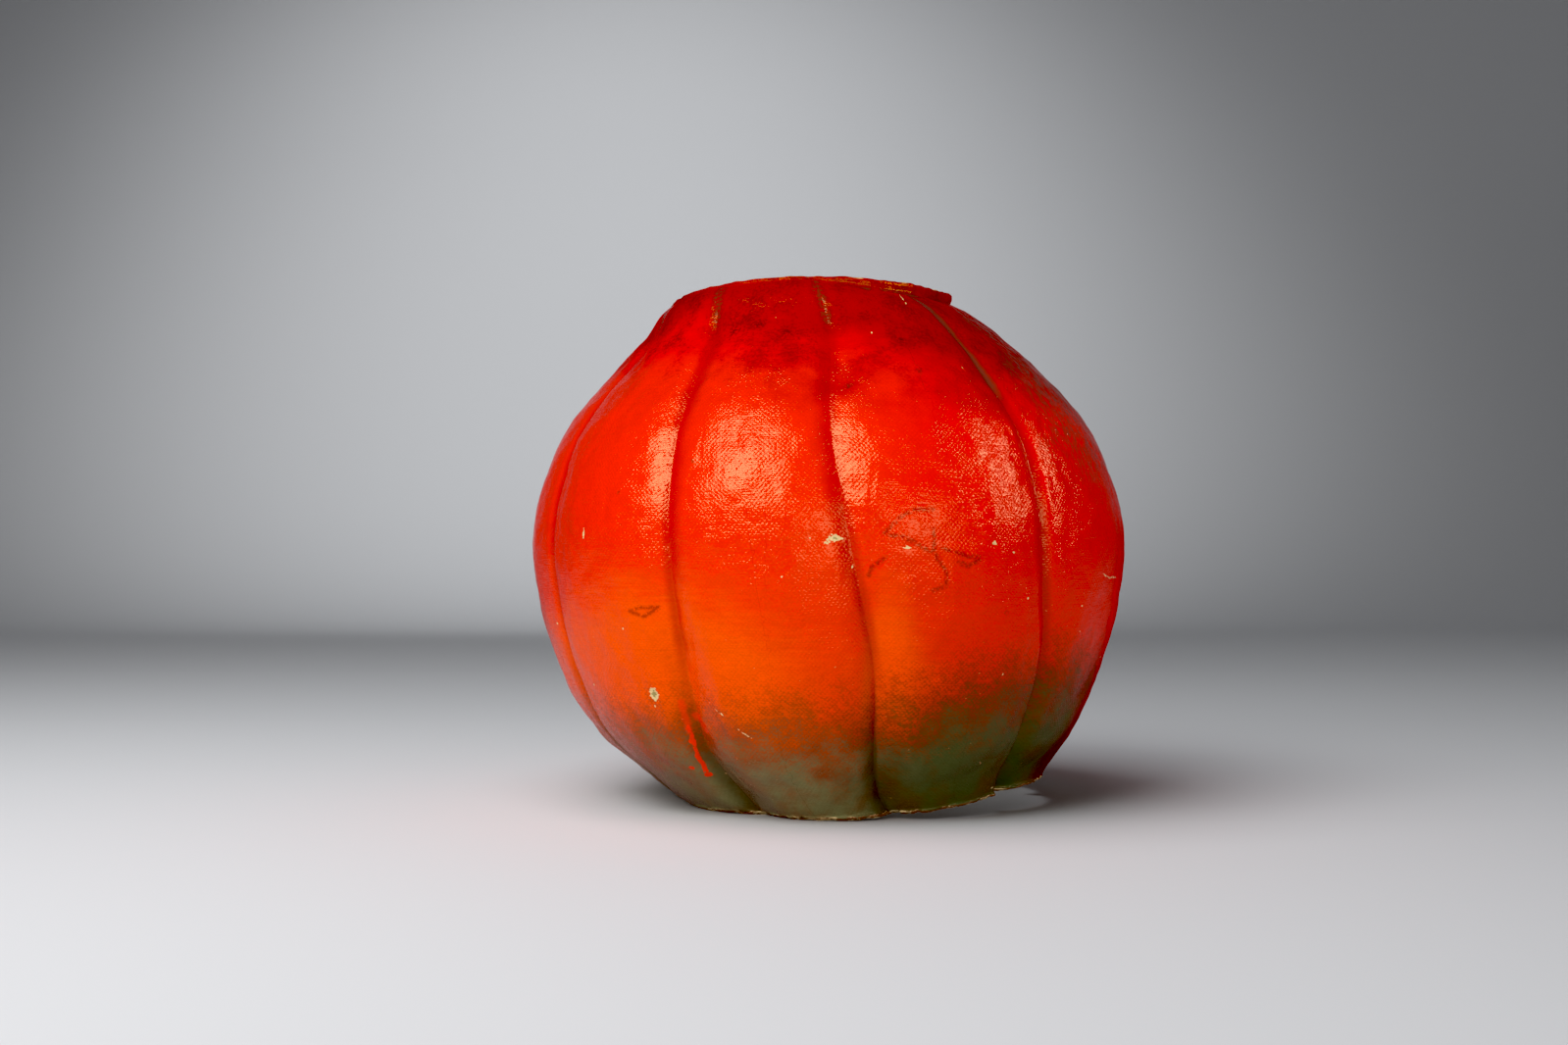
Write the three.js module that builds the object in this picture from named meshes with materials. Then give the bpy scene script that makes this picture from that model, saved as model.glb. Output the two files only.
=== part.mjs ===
// A hollow papier-mache pumpkin: one thin painted shell. It is open at the top inside a low collar
// and open underneath, and it stands on the cut edge of its wall.
// Millimetres, +Z up. The side with the best paint faces -Y. Azimuths are in degrees: 0 faces -Y,
// and they grow towards +X. The origin ends up in the middle of the underside.
import * as THREE from "three";

// Walls
const wall = 3.5; // layers of paper and canvas
const bottomEdgeWall = 2.8;
const collarWall = 4;

// Outline through the tops of the lobes, as [radius, height], from the bottom edge to the collar's foot
const bodyHeight = 247;
const outline = [
  [92, 0],
  [104, 15],
  [119.5, 33],
  [132.3, 56],
  [143.8, 88],
  [149.4, 122],
  [146.7, 151],
  [133.8, 183],
  [108, 215],
  [84, 238.5],
  [76, 244.5],
  [71, bodyHeight],
];
const bodyRows = 25;

// Collar round the top opening
const collarRadius = 70.5;
const collarHeight = 5;
const collarFlare = 0.8;

// Nine furrows: azimuths at 0, 1/4, 1/2, 3/4 and all of the body's height
const furrows = [
  [-75, -67.5, -67.5, -69, -71],
  [-35, -30.5, -30.5, -33.5, -37],
  [6.5, 6.5, 2, -1, 0.5],
  [47.5, 47, 41.5, 41, 40],
  [93, 92, 91, 91, 89],
  [128, 127, 129, 130, 128],
  [167, 168, 170, 169, 167],
  [209, 211, 210, 209, 211],
  [247, 250, 251, 249, 248],
];
const lobeDrop = 4; // how far a lobe's crown falls to its furrows
const furrowDepth = 3.5; // further, in the furrow itself
const furrowDepthLow = 6; // the same at the bottom edge
const furrowHalfWidth = 8.5;
const furrowHalfWidthLow = 12.5; // and at the bottom edge
const fadeUnderCollar = 7; // height over which lobes and furrows die out into the collar's foot
// Places across a lobe, from one furrow to the next, where the mesh has a column
const lobeColumns = [0, 0.045, 0.1, 0.19, 0.32, 0.5, 0.68, 0.81, 0.9, 0.955];

// The openings are cut a little off the body's axis, and the bottom edge isn't level
const bottomOffset = new THREE.Vector2(16, -3);
const bottomOffsetSpan = 74; // height over which the offset dies out
const topOffset = new THREE.Vector2(-9.3, 0);
const topOffsetFrom = 200;
const edgeLift = 12; // highest place of the bottom edge above the floor
const liftStart = -15; // the edge is off the floor from here, through half a turn
const liftSpan = 45;
const topTilt = { side: 2.6, front: 2.1, fold: 1.9, foldAt: -19 };
const topTiltFrom = 215;

const paint = { color: 0xd42a08, roughness: 0.32, metalness: 0 };

const toRadians = THREE.MathUtils.degToRad;
const clampUnit = (value) => THREE.MathUtils.clamp(value, 0, 1);

const outlineCurve = new THREE.SplineCurve(outline.map(([radius, height]) => new THREE.Vector2(radius, height)));

// Each furrow's path, with the azimuth in x and the height, as a share of the body's, in y
const furrowCurves = furrows.map((azimuths) => {
  const steps = azimuths.length - 1;
  return new THREE.SplineCurve(azimuths.map((azimuth, i) => new THREE.Vector2(azimuth, i / steps)));
});

// Azimuth of a furrow at a share of the height; furrow 9 is furrow 0 a full turn on
function furrowAzimuth(index, share) {
  const turns = Math.floor(index / furrows.length);
  return furrowCurves[index % furrows.length].getPoint(clampUnit(share)).x + 360 * turns;
}

// How far the surface lies inside the outline, across a lobe (0 to 1 between its furrows)
function lobeSink(across, arcToFurrow, height) {
  const low = clampUnit(1 - (2 * height) / bodyHeight) ** 2;
  const channel = THREE.MathUtils.lerp(furrowDepth, furrowDepthLow, low);
  const halfWidth = THREE.MathUtils.lerp(furrowHalfWidth, furrowHalfWidthLow, low);
  const inChannel = 1 - THREE.MathUtils.smoothstep(arcToFurrow, 0, halfWidth);
  const fade = THREE.MathUtils.smoothstep(bodyHeight - height, 0, fadeUnderCollar);
  return (lobeDrop * (2 * across - 1) ** 2 + channel * inChannel) * fade;
}

// Moves a point of the upright body to where the cut openings and uneven edges put it
function settle(azimuth, radius, height) {
  const angle = toRadians(azimuth);
  const bottomShare = clampUnit(1 - height / bottomOffsetSpan) ** 3;
  const topShare = clampUnit((height - topOffsetFrom) / (bodyHeight - topOffsetFrom)) ** 3;
  const liftAngle = toRadians(THREE.MathUtils.clamp(azimuth - liftStart, 0, 180));
  const lift = edgeLift * Math.sin(liftAngle) ** 2 * clampUnit(1 - height / liftSpan) ** 2;
  const tiltShare = clampUnit((height - topTiltFrom) / (bodyHeight - topTiltFrom)) ** 2;
  const fold = topTilt.fold * Math.cos(2 * (angle - toRadians(topTilt.foldAt)));
  const tilt = (topTilt.side * Math.sin(angle) + topTilt.front * Math.cos(angle) + fold) * tiltShare;
  return new THREE.Vector3(
    radius * Math.sin(angle) + bottomOffset.x * bottomShare + topOffset.x * topShare,
    -radius * Math.cos(angle) + bottomOffset.y * bottomShare + topOffset.y * topShare,
    height + lift + tilt,
  );
}

// Outer surface of the body: lobe number, place across it, and share of the way up the outline
function bodyPoint(lobe, across, share) {
  const spot = outlineCurve.getPoint(clampUnit(share));
  const heightShare = spot.y / bodyHeight;
  const left = furrowAzimuth(lobe, heightShare);
  const right = furrowAzimuth(lobe + 1, heightShare);
  const azimuth = THREE.MathUtils.lerp(left, right, across);
  const arcToFurrow = toRadians(Math.min(azimuth - left, right - azimuth)) * spot.x;
  const wrapped = THREE.MathUtils.euclideanModulo(azimuth + 180, 360) - 180;
  return settle(wrapped, spot.x - lobeSink(across, arcToFurrow, spot.y), spot.y);
}

// The same point pushed into the wall, square to the surface
function bodyInnerPoint(lobe, across, share) {
  const step = 0.004;
  const along = bodyPoint(lobe, across + step, share).sub(bodyPoint(lobe, across - step, share));
  const up = bodyPoint(lobe, across, share + step).sub(bodyPoint(lobe, across, share - step));
  const inward = up.cross(along).normalize();
  return bodyPoint(lobe, across, share).addScaledVector(inward, wall);
}

// A point of the collar, at a radius and a height above its foot
function collarPoint(lobe, across, radius, rise) {
  const left = furrowAzimuth(lobe, 1);
  const azimuth = THREE.MathUtils.lerp(left, furrowAzimuth(lobe + 1, 1), across);
  const foot = settle(THREE.MathUtils.euclideanModulo(azimuth + 180, 360) - 180, radius, bodyHeight);
  foot.z += rise;
  return foot;
}

// One closed section of the wall: up the outside, over the collar, down the inside
function wallSection(lobe, across) {
  const section = [];
  for (let row = 0; row < bodyRows; row += 1) {
    section.push(bodyPoint(lobe, across, row / (bodyRows - 1)));
  }
  section.push(collarPoint(lobe, across, collarRadius + collarFlare, collarHeight * 0.75));
  section.push(collarPoint(lobe, across, collarRadius + collarFlare / 2, collarHeight));
  section.push(collarPoint(lobe, across, collarRadius - collarWall, collarHeight));
  for (let row = bodyRows - 2; row > 0; row -= 2) {
    section.push(bodyInnerPoint(lobe, across, row / (bodyRows - 1)));
  }
  const edge = bodyPoint(lobe, across, 0);
  const centre = new THREE.Vector3(bottomOffset.x, bottomOffset.y, edge.z);
  section.push(edge.clone().addScaledVector(centre.sub(edge).normalize(), bottomEdgeWall));
  return section;
}

// Joins the sections round the full turn into one closed surface
function buildShell() {
  const sections = furrows.flatMap((_, lobe) => lobeColumns.map((across) => wallSection(lobe, across)));
  const ringSize = sections[0].length;
  const indices = [];
  sections.forEach((_, column) => {
    const next = (column + 1) % sections.length;
    for (let i = 0; i < ringSize; i += 1) {
      const j = (i + 1) % ringSize;
      const a = column * ringSize + i;
      const b = next * ringSize + i;
      const c = next * ringSize + j;
      const d = column * ringSize + j;
      indices.push(a, b, c, a, c, d);
    }
  });
  const geometry = new THREE.BufferGeometry().setFromPoints(sections.flat());
  geometry.setIndex(indices);
  geometry.computeVertexNormals();
  return geometry;
}

const shell = new THREE.Mesh(buildShell(), new THREE.MeshStandardMaterial(paint));
shell.name = "shell";

// Brings the middle of the underside to the origin
const box = new THREE.Box3().setFromObject(shell);
const middle = box.getCenter(new THREE.Vector3());
shell.position.set(-middle.x, -middle.y, -box.min.z);

const pumpkin = new THREE.Group();
pumpkin.add(shell);

export default pumpkin;
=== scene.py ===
import math
import bpy
import numpy as np
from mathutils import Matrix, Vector, noise


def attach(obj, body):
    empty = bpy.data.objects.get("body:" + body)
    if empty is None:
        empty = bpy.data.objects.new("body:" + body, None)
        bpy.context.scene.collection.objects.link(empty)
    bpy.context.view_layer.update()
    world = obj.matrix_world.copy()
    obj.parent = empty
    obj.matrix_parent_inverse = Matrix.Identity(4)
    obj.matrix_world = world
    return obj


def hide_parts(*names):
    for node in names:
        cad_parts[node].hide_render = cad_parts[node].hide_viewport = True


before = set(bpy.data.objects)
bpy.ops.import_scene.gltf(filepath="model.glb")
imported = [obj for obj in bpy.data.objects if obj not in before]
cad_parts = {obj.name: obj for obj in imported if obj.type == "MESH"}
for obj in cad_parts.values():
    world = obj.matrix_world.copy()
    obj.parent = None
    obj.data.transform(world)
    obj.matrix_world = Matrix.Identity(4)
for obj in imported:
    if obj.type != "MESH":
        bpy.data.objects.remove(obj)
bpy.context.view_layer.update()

mm = 0.001
far = 99.0              # a distance in mm for what is nowhere near
weldDistance = 1e-6     # in metres

# Lengths of the shell are in millimetres and angles in degrees. Azimuth 0 is towards -Y, 90 towards +X.

bodyForm = {
    "height": 247,
    "outline": [    # radius and height through the tops of the lobes
        (92, 0), (104, 15), (119.5, 33), (132.3, 56), (143.8, 88), (149.4, 122),
        (146.7, 151), (133.8, 183), (108, 215), (84, 238.5), (76, 244.5), (71, 247)],
    "furrows": [    # azimuths of each furrow at 0, 1/4, 1/2, 3/4 and all of the height
        (-75, -67.5, -67.5, -69, -71), (-35, -31.2, -31, -33.5, -37), (7.5, 8.2, 3, -1, 0.5),
        (47.5, 47, 41.5, 41, 40), (93, 92, 91, 91, 89), (128, 127, 129, 130, 128),
        (167, 168, 170, 169, 167), (209, 211, 210, 209, 211), (247, 250, 251, 249, 248)],
    "banks": [      # each furrow low on the body, then high on it: its depth, and for its left and right bank
        # the reach, softness (0 for a crisp shoulder, 1 for a soft one over a sharp crease) and raised lip
        ((4.5, (9, 1, 0), (8, 0.7, 0.3)), (2, (8, 1, 0), (9, 0.9, 0.1))),
        ((5.5, (17, 1, 0), (19, 0.5, 0.2)), (2.3, (14, 1, 0), (11, 0.5, 0))),
        ((6.5, (19, 1, 0), (16, 0.6, 0.3)), (2.3, (12, 0.6, 0), (20, 0.8, 0))),
        ((4.2, (7, 0.6, 0.4), (11, 0.9, 0)), (2.4, (8, 0.7, 0), (7, 0.9, 0))),
        ((5.5, (12, 1, 0), (9, 0.6, 0.3)), (2.2, (8, 0.9, 0), (10, 1, 0))),
        ((5, (9, 0.5, 0.4), (12, 1, 0)), (2, (11, 1, 0), (7, 0.8, 0.1))),
        ((6, (14, 1, 0), (11, 0.7, 0)), (2.4, (12, 1, 0), (8, 0.9, 0))),
        ((5.5, (10, 0.6, 0.3), (13, 1, 0)), (1.9, (7, 0.9, 0.1), (12, 1, 0))),
        ((5.5, (12, 1, 0), (9, 0.6, 0.3)), (2.3, (9, 0.9, 0), (8, 0.9, 0)))],
    "lowShare": (0.1, 0.52),    # shares of the height between which a furrow changes from its low shape
    "topFade": (8, 45, 0.3),    # furrows are faded and start to fade this far below the top, to this share
    "lip": (1.12, 0.2),         # middle and width of a bank's raised lip, as shares of its reach
    "lobeDrop": 4,
    "fadeUnderCollar": 22,
    "wall": 3.5,
}

edgeForm = {
    "bottomOffset": (16, -3), "bottomOffsetSpan": 74,
    "topOffset": -9.3, "topOffsetFrom": 200,
    "lift": 12, "liftStart": -15, "liftSpan": 45,
    "tiltSide": 2.6, "tiltFront": 2.1, "tiltFold": 1.9, "tiltFoldAt": -19, "tiltFrom": 215,
    "bottomWall": 2.8, "bottomBead": 0.4, "beadEnd": (1.2, 3.4),
    "notches": ((1.1, 7, 11), (0.66, 2.4, 12)), "notchReach": 7,    # in the cut edge: depth, size and seed
    "tearDepth": 1.76, "tears": (13, 13, 0.35, 0.5),
    "collarRadius": 70.5, "collarFlare": 0.8, "collarHeight": 5, "collarWall": 4,
    "collarWaves": ((0.5, 5, 6), (0.5, 17, 14)), "collarSway": ((0.3, 4, 7), (0.5, 15, 15)),
    "collarMerge": 3.4, "mergeAt": -48, "mergeSpan": (40, 75), "mergeFrom": 233,    # where lobes run into it
    "knobAt": 76, "knobSpan": 7, "knob": 1.3, "knobInside": -0.6,
}

meshSteps = {
    "frontLobes": 4,            # the lobes that face the front, which have the finer mesh
    "frontColumns": 88,         # columns of faces across each of them
    "otherColumns": 42,
    "edgeSteps": (0, 0.7, 1.5, 2.6),    # rows close to the bottom edge
    "evenFrom": 4,              # height in mm of the first of the evenly spaced rows
    "bodyRows": 142,
    "innerRows": 18,
    "innerInset": (3, 6),       # outer rows that have no inner row behind them, at the top and at the bottom
    "crowding": 0.4,            # how much closer together the columns stand in the furrows
    "outlineSteps": 2000,       # for measuring along the outline
}


def smooth(value, low, high):
    t = np.clip((value - low) / (high - low), 0, 1)
    return t * t * (3 - 2 * t)


def between(a, b, share):
    return a + (b - a) * share


def alongSpline(points, share):     # a Catmull-Rom curve through evenly numbered points
    points = np.array(points, float)
    last = len(points) - 1
    place = np.clip(share, 0, 1) * last
    i = np.minimum(np.floor(place).astype(int), last - 1)
    t = (place - i)[..., None]
    before, start = points[np.maximum(i - 1, 0)], points[i]
    end, after = points[i + 1], points[np.minimum(i + 2, last)]
    leave, arrive = (end - before) / 2, (after - start) / 2
    return ((2 * start - 2 * end + leave + arrive) * t ** 3
            + (3 * end - 3 * start - 2 * leave - arrive) * t ** 2 + leave * t + start)


def wobble(places, size, seed):     # smooth noise from -1 to 1, with lumps of about that size
    flat = np.array(places, float).reshape(-1, 3) / np.array(size, float)
    values = [noise.noise(Vector(p) + Vector((seed * 7.3, seed * -3.1, seed * 1.7))) for p in flat]
    return np.array(values).reshape(np.shape(places)[:-1])


def roughen(places, layers):        # the sum of some layers of noise, each with its depth, size and seed
    return sum(depth * wobble(places, size, seed) for depth, size, seed in layers)


def patches(places, size, seed, low, high):     # where a noise is above low, and full above high
    return smooth(wobble(places, size, seed), low, high)


# The wall's section is drawn point by point and turned round the axis.

def bodyShares():       # places on the outline a steady distance apart, and their distances along it
    fine = np.linspace(0, 1, meshSteps["outlineSteps"])
    spots = alongSpline(bodyForm["outline"], fine)
    length = np.concatenate([[0], np.cumsum(np.linalg.norm(np.diff(spots, axis=0), axis=1))])
    edge = meshSteps["edgeSteps"]
    even = np.linspace(meshSteps["evenFrom"], length[-1], meshSteps["bodyRows"] - len(edge))
    steps = np.concatenate([edge, even])
    return np.interp(steps, length, fine), steps


def collarSection():    # radius and rise of the collar's points, up the outside and down the inside
    e = edgeForm
    outer = e["collarRadius"] + e["collarFlare"]
    inner = e["collarRadius"] - e["collarWall"]
    rise = e["collarHeight"]
    return [(outer - 0.5, rise * 0.3), (outer, rise * 0.6), (outer - 0.1, rise * 0.85), (outer - 0.7, rise),
            (between(inner, outer, 0.5), rise * 1.04), (inner + 0.6, rise), (inner + 0.1, rise * 0.8),
            (inner, rise * 0.3)]


def drawSection(points):
    bpy.ops.object.select_all(action="DESELECT")
    bpy.ops.mesh.primitive_plane_add(size=mm, location=(points[0][0] * mm, 0, points[0][1] * mm))
    bpy.ops.object.mode_set(mode="EDIT")
    bpy.ops.mesh.select_all(action="SELECT")
    bpy.ops.mesh.merge(type="CENTER")
    for here, there in zip(points, points[1:]):
        step = ((there[0] - here[0]) * mm, 0, (there[1] - here[1]) * mm)
        bpy.ops.mesh.extrude_region_move(TRANSFORM_OT_translate={"value": step})
    bpy.ops.object.mode_set(mode="OBJECT")
    section = bpy.context.object
    section.data.vertices[0].select = True
    section.data.vertices[len(points) - 1].select = True
    bpy.ops.object.mode_set(mode="EDIT")
    bpy.ops.mesh.edge_face_add()        # closes the section along the bottom edge
    bpy.ops.object.mode_set(mode="OBJECT")
    bpy.ops.object.transform_apply(location=True, rotation=True, scale=True)
    place = section.data.attributes.new("sectionPlace", "FLOAT", "POINT")
    place.data.foreach_set("value", np.arange(len(points), dtype=np.float32))
    return section


def turnSection(section, columns):
    bpy.ops.object.modifier_add(type="SCREW")
    turn = section.modifiers[-1]
    turn.axis = "Z"
    turn.angle = 2 * math.pi
    turn.steps = turn.render_steps = columns
    turn.use_merge_vertices = True
    turn.merge_threshold = weldDistance
    bpy.ops.object.modifier_apply(modifier=turn.name)
    bpy.ops.object.mode_set(mode="EDIT")
    bpy.ops.mesh.select_all(action="SELECT")
    bpy.ops.mesh.remove_doubles(threshold=weldDistance)
    bpy.ops.mesh.normals_make_consistent(inside=False)
    bpy.ops.object.mode_set(mode="OBJECT")
    return section


# The turned mesh is pressed into this lobed surface.

def lobeColumns():      # the lobe that each column is in, and its place across that lobe
    m = meshSteps
    lobes, across = [], []
    for lobe in range(len(bodyForm["furrows"])):
        count = m["frontColumns"] if lobe < m["frontLobes"] else m["otherColumns"]
        t = np.arange(count) / count
        lobes.append(np.full(count, lobe))
        across.append(t - m["crowding"] * np.sin(2 * np.pi * t) / (2 * np.pi))
    return np.concatenate(lobes), np.concatenate(across)


def furrowAzimuth(lobe, heightShare):
    count = len(bodyForm["furrows"])
    out = np.zeros(np.broadcast(lobe, heightShare).shape)
    shares = np.broadcast_to(heightShare, out.shape)
    for furrow in range(count + 1):
        here = np.broadcast_to(lobe == furrow, out.shape)
        stations = np.array(bodyForm["furrows"][furrow % count], float)[:, None]
        out[here] = alongSpline(stations, shares[here])[..., 0] + 360 * (furrow // count)
    return out


def mergeShare(azimuth):    # 1 where a lobe runs up into the collar, 0 where a crease parts them
    e = edgeForm
    away = np.abs((azimuth - e["mergeAt"] + 180) % 360 - 180)
    return 1 - smooth(away, *e["mergeSpan"])


def settle(azimuth, radius, height):    # where the uneven cut edges hold a point of the upright body
    e, top = edgeForm, bodyForm["height"]
    angle = np.radians(azimuth)
    bottomShare = np.clip(1 - height / e["bottomOffsetSpan"], 0, 1) ** 3
    topShare = np.clip((height - e["topOffsetFrom"]) / (top - e["topOffsetFrom"]), 0, 1) ** 3
    liftAngle = np.radians(np.clip(azimuth - e["liftStart"], 0, 180))
    lift = e["lift"] * np.sin(liftAngle) ** 2 * np.clip(1 - height / e["liftSpan"], 0, 1) ** 2
    tiltShare = np.clip((height - e["tiltFrom"]) / (top - e["tiltFrom"]), 0, 1) ** 2
    fold = e["tiltFold"] * np.cos(2 * (angle - math.radians(e["tiltFoldAt"])))
    tilt = (e["tiltSide"] * np.sin(angle) + e["tiltFront"] * np.cos(angle) + fold) * tiltShare
    merge = e["collarMerge"] * mergeShare(azimuth) * smooth(height, e["mergeFrom"], top)
    return np.stack([
        radius * np.sin(angle) + e["bottomOffset"][0] * bottomShare + e["topOffset"] * topShare,
        -radius * np.cos(angle) + e["bottomOffset"][1] * bottomShare,
        height + lift + tilt + merge], -1)


def bankFall(distance, bank, depth):     # how deep one bank lies at a distance from the furrow's line
    reach, softness, lip = bank
    lipAt, lipWidth = bodyForm["lip"]
    t = np.clip(distance / reach, 0, 1)
    fall = (1 - t ** (2 - softness)) ** (1 + softness)
    return depth * fall - lip * np.exp(-((distance / reach - lipAt) / lipWidth) ** 2)


def furrowFall(lobe, side, distance, low):      # the sink that a lobe gets from its furrow on one side
    out = np.zeros(distance.shape)
    for furrow, shapes in enumerate(bodyForm["banks"]):
        here = np.broadcast_to((lobe + side) % len(bodyForm["banks"]) == furrow, out.shape)
        falls = [bankFall(distance, shape[2 - side], shape[0]) for shape in shapes]
        out = np.where(here, between(falls[1], falls[0], low), out)
    return out


def bodySurface(lobe, across, share):   # points with their azimuth, upright height and distance from a furrow
    b = bodyForm
    spot = alongSpline(b["outline"], share)
    radius, height = spot[..., 0], spot[..., 1]
    heightShare = np.clip(height / b["height"], 0, 1)
    left, right = furrowAzimuth(lobe, heightShare), furrowAzimuth(lobe + 1, heightShare)
    azimuth = between(left, right, across)
    fromLeft = np.radians(azimuth - left) * radius
    fromRight = np.radians(right - azimuth) * radius
    low = np.broadcast_to(1 - smooth(heightShare, *b["lowShare"]), fromLeft.shape)
    leftFall, rightFall = furrowFall(lobe, 0, fromLeft, low), furrowFall(lobe, 1, fromRight, low)
    channel = np.where(fromLeft < fromRight, leftFall, rightFall)
    faded, fadeStart, shareLeft = b["topFade"]
    channel *= between(shareLeft, 1, smooth(b["height"] - height, faded, fadeStart))
    fade = smooth(b["height"] - height, 0, b["fadeUnderCollar"])
    sink = (b["lobeDrop"] * (2 * across - 1) ** 2 + channel) * fade
    wrapped = (azimuth + 180) % 360 - 180
    return {"place": settle(wrapped, radius - sink, height), "azimuth": wrapped,
            "height": np.broadcast_to(height, wrapped.shape),
            "fromFurrow": np.where(fromLeft < fromRight, fromLeft, -fromRight)}


def gridNormals(grid):      # outward normals of a grid of points that closes on itself along its columns
    along = np.roll(grid, -1, 0) - np.roll(grid, 1, 0)
    up = np.gradient(grid, axis=1)
    out = np.cross(along, up)
    return out / np.linalg.norm(out, axis=-1, keepdims=True)


marks = {       # on the skin, each point by its azimuth and height
    "chips": [      # azimuth, height, half width, half height
        (-38.5, 60.1, 2.5, 3.8), (-50.5, 134.2, 0.8, 2.2), (0.1, 130.3, 3.4, 1.6), (-4.1, 131.1, 1.2, 0.8),
        (-1.6, 128.2, 1.4, 0.8), (12.1, 126.4, 2.0, 0.9), (28.5, 128.9, 1.4, 1.0), (33.0, 125.4, 0.9, 0.6),
        (118, 131, 2.6, 1.6), (152, 62, 2.0, 3.2), (-104, 88, 1.6, 2.6), (-150, 128, 3.4, 1.7),
        (-122, 47, 2.4, 2.0), (-164, 196, 1.8, 1.2), (84, 58, 1.3, 2.4)],
    "specks": [
        (-39, 53.5), (-42, 89.8), (-57.2, 61.2), (11.4, 226), (-15.2, 235.3), (33.7, 69.2), (28.8, 43),
        (52.8, 99), (54.2, 86.9), (57.5, 22.5), (42.3, 12.6), (3, 118), (-9, 114), (37, 103), (70, 74),
        (-70, 90)],
    "speckSize": 0.55,
    "scratches": [
        [(-25.2, 54.1), (-23.0, 51.1)], [(-20.7, 45.3), (-18.2, 40.8)],
        [(58.9, 113.9), (62.7, 112.3), (67.5, 111.6)], [(32.1, 213.4), (33.0, 207.1)],
        [(33.0, 248.0), (30.4, 242.5)], [(-96, 150), (-91, 141)], [(140, 170), (146, 166)]],
    "cracks": [
        [(8.4, 132.9), (10.5, 138.9), (13.5, 143.6), (16.7, 144.1)],
        [(8.4, 132.9), (12.1, 130.3), (16.7, 125.5)],
        [(16.7, 135.0), (16.7, 125.5), (19.1, 116.0), (19.1, 110.8), (17.2, 108.7)],
        [(8.4, 123.0), (6.2, 117.9), (5.7, 113.6)],
        [(18.6, 126.8), (23.3, 122.9), (25.8, 122.9), (23.3, 119.0), (21.0, 121.6)],
        [(-39.9, 98.6), (-37.6, 100.5), (-33.5, 99.8)], [(-39.1, 97.3), (-36.5, 96.5), (-33.7, 98.9)],
        [(108, 140), (113, 134), (121, 136)], [(176, 122), (180, 116), (179, 108)],
        [(-110, 132), (-104, 137), (-99, 134)]],
    "drips": [
        [(-34.2, 45), (-34.8, 38), (-35.4, 33.0), (-36.2, 28.4), (-36.6, 24.8), (-37.6, 21.2)],
        [(132, 66), (133, 55), (131, 47)]],
    "dripEnds": [       # azimuth, height and size
        (-37.6, 20.6, 1.9), (-40.0, 23.6, 1.3), (-35.2, 36.6, 1.3), (131, 46, 1.6)],
    "smears": [
        [(-33.5, 55), (-34.0, 49), (-34.4, 42)], [(-31.9, 50.7), (-30.7, 45.7), (-30.3, 42.0)]],
    "stains": [     # azimuth, height and size
        (3.1, 200.3, 2.0), (20.1, 207.6, 2.4), (18.7, 222.7, 2.0), (-42.2, 151.7, 1.3), (-26.9, 166.6, 1.3),
        (32.4, 96.8, 1.6), (-28, 227.9, 3.5), (-12, 226.8, 3), (-20, 232, 4), (-47, 234, 2.5),
        (120, 210, 3), (-130, 190, 3)],
    "degree": 2.4,      # mm that a degree takes up round the belly
}


def placeMarks(body):       # the same marks, with places on the shaped body for azimuths and heights
    places = body["place"].reshape(-1, 3)
    azimuths = body["azimuth"].ravel()

    def find(azimuth, height):
        turn = (azimuths - azimuth + 180) % 360 - 180
        return places[np.argmin((turn * marks["degree"]) ** 2 + (places[:, 2] - height) ** 2)]

    placed = dict(marks)
    for name in ("chips", "specks", "stains", "dripEnds"):
        placed[name] = [(find(*mark[:2]), *mark[2:]) for mark in marks[name]]
    for name in ("scratches", "cracks", "drips", "smears"):
        placed[name] = [[find(*point) for point in path] for path in marks[name]]
    return placed


def fromOvals(places, ovals):           # distance in mm outside the nearest of some oval patches
    best = np.full(places.shape[:-1], far)
    for centre, halfWidth, halfHeight in ovals:
        away = (places - centre) / (halfWidth, halfWidth, halfHeight)
        share = np.linalg.norm(away, axis=-1)
        best = np.minimum(best, (share - 1) * (halfWidth + halfHeight) / 2)
    return best


def fromPaths(places, paths):           # distance in mm from the nearest of some paths
    best = np.full(places.shape[:-1], far)
    for path in paths:
        for start, end in zip(path, path[1:]):
            run = end - start
            share = np.clip(((places - start) @ run) / (run @ run + 1e-9), 0, 1)
            best = np.minimum(best, np.linalg.norm(places - start - share[..., None] * run, axis=-1))
    return best


reliefForm = {      # a layer of unevenness has its depth, size and seed
    "dents": (0.9, 48, 0), "lumps": (0.6, 20, 1), "knobbles": (0.4, 9, 2), "crumples": (0.2, 4.5, 3),
    "lowLumps": (0.75, (12, 12, 22), 9), "lowLumpHeights": (90, 30),
    "puckers": 0.25, "puckerSize": 19, "puckerSeed": 21, "puckerWidth": 0.14,       # folds in the canvas
    "puckerPatches": (36, 22, 0, 0.3),      # size, seed, and the noise where they start and are full
    "seamHeight": 129, "seamBand": (2, 8), "seamFolds": (0.3, (14, 14, 2.8), 4),
    "seamPatches": (30, 5, -0.1, 0.25),
    "innerLumps": (0.5, 14, 8), "innerCrumples": (0.25, 5, 10),
    "chipDepth": 0.35, "chipEdge": (0.6, -0.2),
    "dripRise": 0.45, "dripEdge": (1.5, 0.1),
    "calmEdge": 3,      # height over which the relief sets in above the bottom edge
}


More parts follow.
